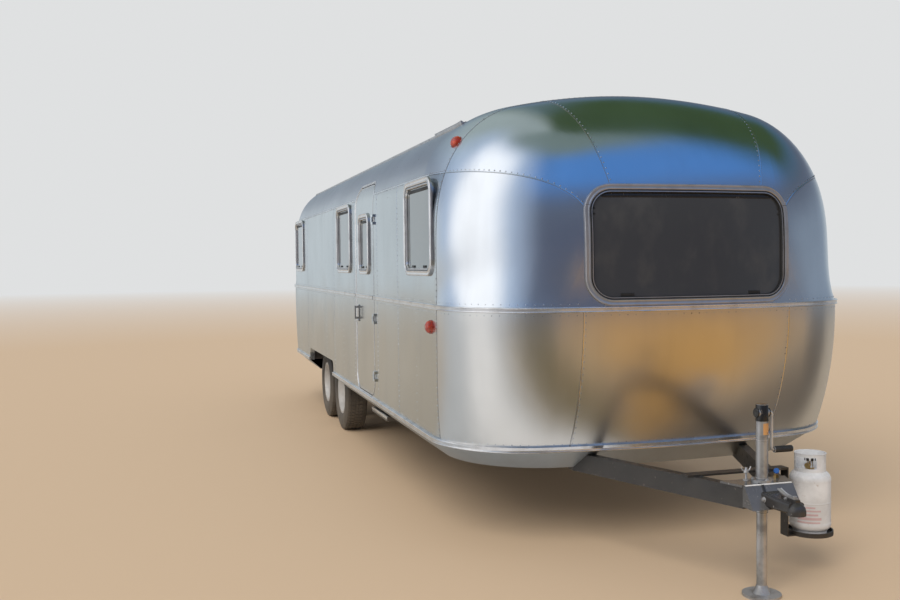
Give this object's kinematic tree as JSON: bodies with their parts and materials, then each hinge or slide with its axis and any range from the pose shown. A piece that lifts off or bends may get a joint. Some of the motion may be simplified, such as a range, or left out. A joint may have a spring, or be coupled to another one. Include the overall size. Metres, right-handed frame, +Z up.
{
  "type": "travel caravan",
  "caption": "Riveted aluminium travel caravan with rounded ends, tandem axles, hinged entry door and a nose jack.",
  "frame": {"origin": "on the ground below the middle of the whole caravan, coupler to bumper", "axes": "+Z up, the coupler points to -Y, the entry door is on the -X side"},
  "size_m": [2.506, 8.5418, 2.705],
  "materials": {
    "skin": "satin, aged",
    "trim": "extruded",
    "window_frame": "weathered grey",
    "tinted_glass": "dark tint",
    "chassis_black": "satin black",
    "floor_board": "plywood",
    "well_sheet": "matt",
    "coupler_steel": "worn black",
    "jack_paint": "grey, worn",
    "jack_steel": "zinc",
    "jack_crank": "zinc with black grip",
    "bottle_paint": "white gloss",
    "roof_plastic": "aged white",
    "bumper": "satin",
    "amber_lens": "clear lens",
    "red_lens": "clear lens",
    "handle": "bright",
    "step_black": "grip top",
    "tyre": "matt",
    "rim_paint": "silver"
  },
  "bodies": {
    "caravan": {"front_crown_panel": "skin", "front_shoulder_panels": "skin", "front_corner_panels": "skin", "front_lower_panel": "skin", "front_lower_corner_panels": "skin", "rear_crown_panel": "skin", "rear_shoulder_panels": "skin", "rear_corner_panels": "skin", "rear_lower_panel": "skin", "rear_lower_corner_panels": "skin", "roof_panel": "skin", "side_wall_right": "skin", "side_wall_left": "skin", "belly_pan": "skin", "belt_trim": "trim", "skirt_trim": "trim", "end_window_frames": "window_frame", "side_window_frames": "window_frame", "end_window_panes": "tinted_glass", "side_window_panes": "tinted_glass", "chassis_rails": "chassis_black", "cross_members": "chassis_black", "drawbar_tubes": "chassis_black", "drawbar_plate": "chassis_black", "axles": "chassis_black", "step_runners": "chassis_black", "floor": "floor_board", "wheel_boxes": "well_sheet", "coupler": "coupler_steel", "jack_tube": "jack_paint", "jack_crank": "jack_crank", "gas_bottle": "bottle_paint", "bottle_carrier": "chassis_black", "roof_cooler": "roof_plastic", "vent_curbs": "roof_plastic", "rear_bumper": "bumper", "marker_lamps": "amber_lens", "tail_lamps": "red_lens"},
    "jack_leg": {"jack_leg": "jack_steel"},
    "entry_door": {"door_panel": "skin", "door_window_frame": "window_frame", "door_window_pane": "tinted_glass", "door_handle": "handle"},
    "service_hatch": {"service_hatch": "skin"},
    "vent_lid_front": {"vent_lid_front": "roof_plastic"},
    "vent_lid_rear": {"vent_lid_rear": "roof_plastic"},
    "entry_step": {"entry_step": "step_black"},
    "wheel_front_right": {"tyre_front_right": "tyre", "rim_front_right": "rim_paint"},
    "wheel_front_left": {"tyre_front_left": "tyre", "rim_front_left": "rim_paint"},
    "wheel_rear_right": {"tyre_rear_right": "tyre", "rim_rear_right": "rim_paint"},
    "wheel_rear_left": {"tyre_rear_left": "tyre", "rim_rear_left": "rim_paint"}
  },
  "joints": [
    {"name": "front_right_wheel_spin", "type": "hinge", "parent": "caravan", "child": "wheel_front_right", "pos_m": [-1, 1.2509, 0.3555], "axis": [1, 0, 0], "continuous": true},
    {"name": "front_left_wheel_spin", "type": "hinge", "parent": "caravan", "child": "wheel_front_left", "pos_m": [1, 1.2509, 0.3555], "axis": [1, 0, 0], "continuous": true},
    {"name": "rear_right_wheel_spin", "type": "hinge", "parent": "caravan", "child": "wheel_rear_right", "pos_m": [-1, 2.1109, 0.3555], "axis": [1, 0, 0], "continuous": true},
    {"name": "rear_left_wheel_spin", "type": "hinge", "parent": "caravan", "child": "wheel_rear_left", "pos_m": [1, 2.1109, 0.3555], "axis": [1, 0, 0], "continuous": true},
    {"name": "jack_leg_slide", "type": "slide", "parent": "caravan", "child": "jack_leg", "axis": [0, 0, 1], "range_m": [0, 0.28]},
    {"name": "door_swing", "type": "hinge", "parent": "caravan", "child": "entry_door", "pos_m": [-1.229, -0.9721, 1.3], "axis": [0, 0, 1], "range_deg": [0, 110]},
    {"name": "hatch_lift", "type": "hinge", "parent": "caravan", "child": "service_hatch", "pos_m": [1.229, -0.5591, 1.083], "axis": [0, -1, 0], "range_deg": [0, 100]},
    {"name": "vent_lid_front_lift", "type": "hinge", "parent": "caravan", "child": "vent_lid_front", "pos_m": [-0.38, 1.3549, 2.55504], "axis": [1, 0, 0], "range_deg": [0, 60]},
    {"name": "vent_lid_rear_lift", "type": "hinge", "parent": "caravan", "child": "vent_lid_rear", "pos_m": [0, 2.7549, 2.576], "axis": [1, 0, 0], "range_deg": [0, 60]},
    {"name": "step_slide", "type": "slide", "parent": "caravan", "child": "entry_step", "axis": [-1, 0, 0], "range_m": [0, 0.26]}
  ]
}
